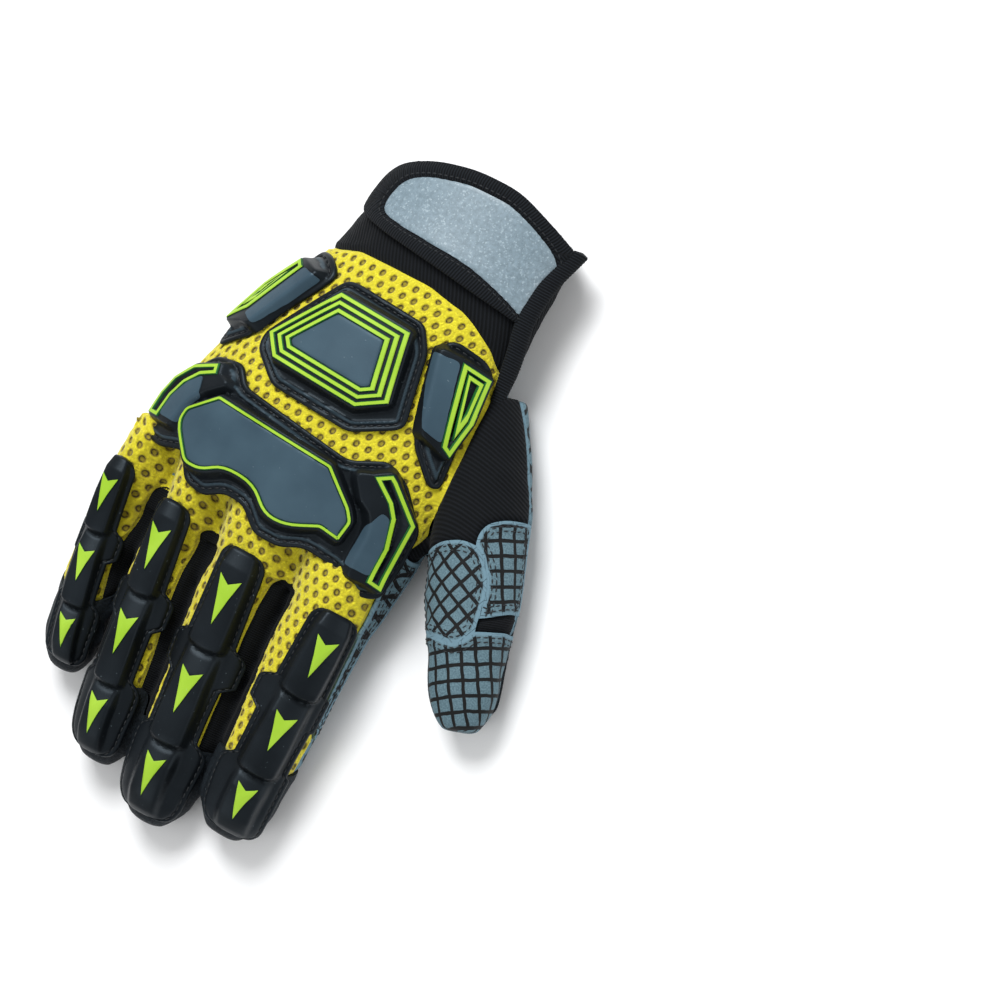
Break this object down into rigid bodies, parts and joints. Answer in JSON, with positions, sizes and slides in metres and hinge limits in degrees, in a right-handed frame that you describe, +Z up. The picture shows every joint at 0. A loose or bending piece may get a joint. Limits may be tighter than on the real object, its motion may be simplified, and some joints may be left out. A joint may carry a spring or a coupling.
{
  "type": "impact glove",
  "caption": "Right-hand work glove of mesh and grip cloth with moulded rubber impact guards on the back and fingers, a knit cuff and a closing strap.",
  "frame": {"origin": "on the resting plane, under the middle of the glove's box", "axes": "+Y towards the cuff along the glove, so the fingers point to -Y; +X towards the thumb; +Z up, away from the palm"},
  "size_m": [0.1698, 0.2588, 0.0453],
  "materials": {
    "yellow_mesh": "matt spacer mesh with small dark holes",
    "grid_cloth": "matt woven cloth printed with rounded squares",
    "black_knit": "matt ribbed knit",
    "black_grip": "grained synthetic grip leather, slight sheen",
    "reflective_cloth": "fine sparkling reflective cloth",
    "black_rubber": "satin moulded rubber",
    "slate_rubber": "satin moulded rubber",
    "lime_rubber": "satin moulded rubber"
  },
  "bodies": {
    "root": {"arrow_index_joint": "lime_rubber", "arrow_index_root": "lime_rubber", "arrow_index_tip": "lime_rubber", "arrow_little_joint": "lime_rubber", "arrow_little_root": "lime_rubber", "arrow_little_tip": "lime_rubber", "arrow_middle_joint": "lime_rubber", "arrow_middle_root": "lime_rubber", "arrow_middle_tip": "lime_rubber", "arrow_ring_joint": "lime_rubber", "arrow_ring_root": "lime_rubber", "arrow_ring_tip": "lime_rubber", "back_panel": "yellow_mesh", "cuff": "black_knit", "finger_cap_index": "black_grip", "finger_cap_little": "black_grip", "finger_cap_middle": "black_grip", "finger_cap_ring": "black_grip", "finger_guard_index": "black_rubber", "finger_guard_little": "black_rubber", "finger_guard_middle": "black_rubber", "finger_guard_ring": "black_rubber", "hand_face": "slate_rubber", "hand_guard": "black_rubber", "hand_line_inner": "lime_rubber", "hand_line_middle": "lime_rubber", "hand_line_outer": "lime_rubber", "index_strip": "grid_cloth", "knuckle_face": "slate_rubber", "knuckle_guard": "black_rubber", "knuckle_line": "lime_rubber", "outer_wedge_face": "slate_rubber", "outer_wedge_guard": "black_rubber", "outer_wedge_line_inner": "lime_rubber", "outer_wedge_line_outer": "lime_rubber", "palm_pad_fingers": "black_grip", "palm_pad_heel": "black_grip", "palm_panel": "grid_cloth", "side_strip_index_middle": "black_knit", "side_strip_middle_ring": "black_knit", "side_strip_ring_little": "black_knit", "slit_binding": "black_knit", "strap": "black_knit", "strap_panel": "reflective_cloth", "strap_rim": "black_knit", "stretch_panel": "black_knit", "thumb_band": "black_knit", "thumb_pad": "black_grip", "thumb_side_patch": "grid_cloth", "thumb_tip": "grid_cloth", "thumb_web_patch": "grid_cloth", "thumb_wedge_face": "slate_rubber", "thumb_wedge_guard": "black_rubber", "thumb_wedge_line_inner": "lime_rubber", "thumb_wedge_line_outer": "lime_rubber", "wing_face_outer_side": "slate_rubber", "wing_face_thumb_side": "slate_rubber", "wing_line_outer_side": "lime_rubber", "wing_line_thumb_side": "lime_rubber"}
  },
  "joints": []
}
